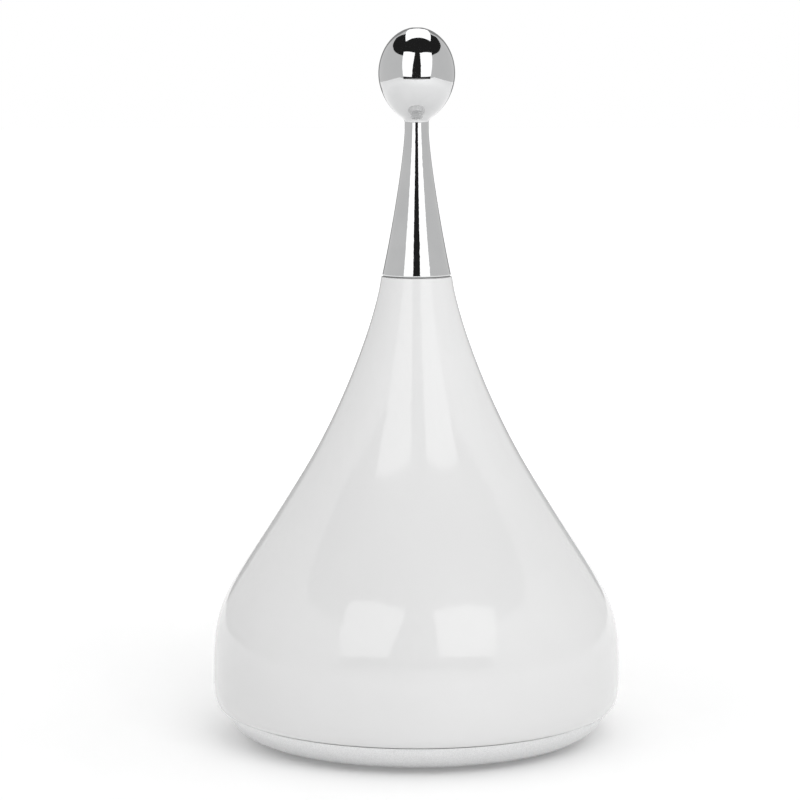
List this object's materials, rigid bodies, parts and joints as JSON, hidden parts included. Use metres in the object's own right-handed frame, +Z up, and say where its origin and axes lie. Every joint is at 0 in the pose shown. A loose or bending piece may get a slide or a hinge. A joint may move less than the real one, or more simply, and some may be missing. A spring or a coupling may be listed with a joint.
{
  "type": "cool mist humidifier",
  "caption": "Drop-shaped desktop ultrasonic humidifier: white lift-off bell, chrome spire with egg-shaped mist finial, silver base with tank, piezo disc, fan and boards.",
  "frame": {"origin": "on the table under the middle of the base, level with the undersides of the feet", "axes": "+Z up along the spire; the socket and the two buttons face +Y and the plain side faces -Y"},
  "size_m": [0.13, 0.13, 0.2253],
  "materials": {
    "gloss_white": "polished white",
    "inner_white": "plain moulded",
    "chrome_plate": "mirror chrome plating on plastic",
    "silver_paint": "satin silver paint",
    "button_silver": "satin silver paint",
    "grey_plastic": "plain moulded",
    "dark_plastic": "fine texture",
    "soft_grey": "silicone",
    "rubber_foot": "matt",
    "screw_steel": "zinc plated",
    "stamped_steel": "bright",
    "bearing_bronze": "sintered",
    "magnet": "ground ferrite",
    "piezo": "polished face",
    "foam": "closed-cell foam",
    "circuit_board": "green solder mask",
    "copper": "enamelled wire",
    "can_aluminium": "plain",
    "led_lens": "clear over phosphor",
    "switch_plunger": "plain moulded",
    "wire_sleeve": "coloured insulation"
  },
  "bodies": {
    "base": {"base_pan": "silver_paint", "cover_seal": "soft_grey", "rubber_feet": "rubber_foot", "base_screws": "screw_steel", "water_tank": "inner_white", "tank_collar": "inner_white", "air_pipe": "inner_white", "float_cap": "inner_white", "level_sensor": "circuit_board", "transducer_disc": "piezo", "transducer_boot": "soft_grey", "transducer_clamp": "stamped_steel", "clamp_screws": "screw_steel", "fan_frame": "dark_plastic", "fan_stator": "stamped_steel", "fan_bearing": "bearing_bronze", "fan_screws": "screw_steel", "air_guide": "inner_white", "driver_board": "circuit_board", "board_screws": "screw_steel", "inductor_core": "magnet", "inductor_winding": "copper", "capacitors": "can_aluminium", "heat_sink": "can_aluminium", "power_transistor": "dark_plastic", "control_chip": "dark_plastic", "wire_headers": "dark_plastic", "back_board": "circuit_board", "back_screws": "screw_steel", "usb_socket": "stamped_steel", "push_switches": "dark_plastic", "led_ring_board": "circuit_board", "leds": "led_lens", "transducer_leads": "wire_sleeve", "fan_leads": "wire_sleeve", "back_leads": "wire_sleeve"},
    "cover": {"bell_shell": "gloss_white", "mist_funnel": "inner_white", "funnel_screws": "screw_steel", "neck_bush": "inner_white", "neck_gasket": "soft_grey"},
    "spire": {"spire_cone": "chrome_plate", "finial_top": "chrome_plate", "finial_bottom": "chrome_plate", "nozzle_tip": "chrome_plate", "mist_tube": "grey_plastic", "spire_spigot": "grey_plastic", "spigot_ring": "soft_grey"},
    "float": {"float_ring": "foam", "float_magnet": "magnet"},
    "rotor": {"fan_rotor": "dark_plastic", "rotor_magnet": "magnet", "fan_shaft": "screw_steel"},
    "mist_key": {"mist_button": "button_silver", "mist_switch_stem": "switch_plunger"},
    "light_key": {"light_button": "button_silver", "light_switch_stem": "switch_plunger"}
  },
  "joints": [
    {"name": "cover_lift", "type": "slide", "parent": "base", "child": "cover", "axis": [0, 0, 1], "range_m": [0, 0.09]},
    {"name": "spire_lift", "type": "slide", "parent": "cover", "child": "spire", "axis": [0, 0, 1], "range_m": [0, 0.025]},
    {"name": "float_rise", "type": "slide", "parent": "base", "child": "float", "axis": [0, 0, 1], "range_m": [0, 0.007]},
    {"name": "fan_spin", "type": "hinge", "parent": "base", "child": "rotor", "pos_m": [-0.03, 0, 0.01], "axis": [0, 0, 1], "continuous": true},
    {"name": "mist_press", "type": "slide", "parent": "base", "child": "mist_key", "axis": [0.3256, -0.9455, 0], "range_m": [0, 0.0005], "stiffness_N_per_m": 1500},
    {"name": "light_press", "type": "slide", "parent": "base", "child": "light_key", "axis": [-0.3256, -0.9455, 0], "range_m": [0, 0.0005], "stiffness_N_per_m": 1500}
  ]
}
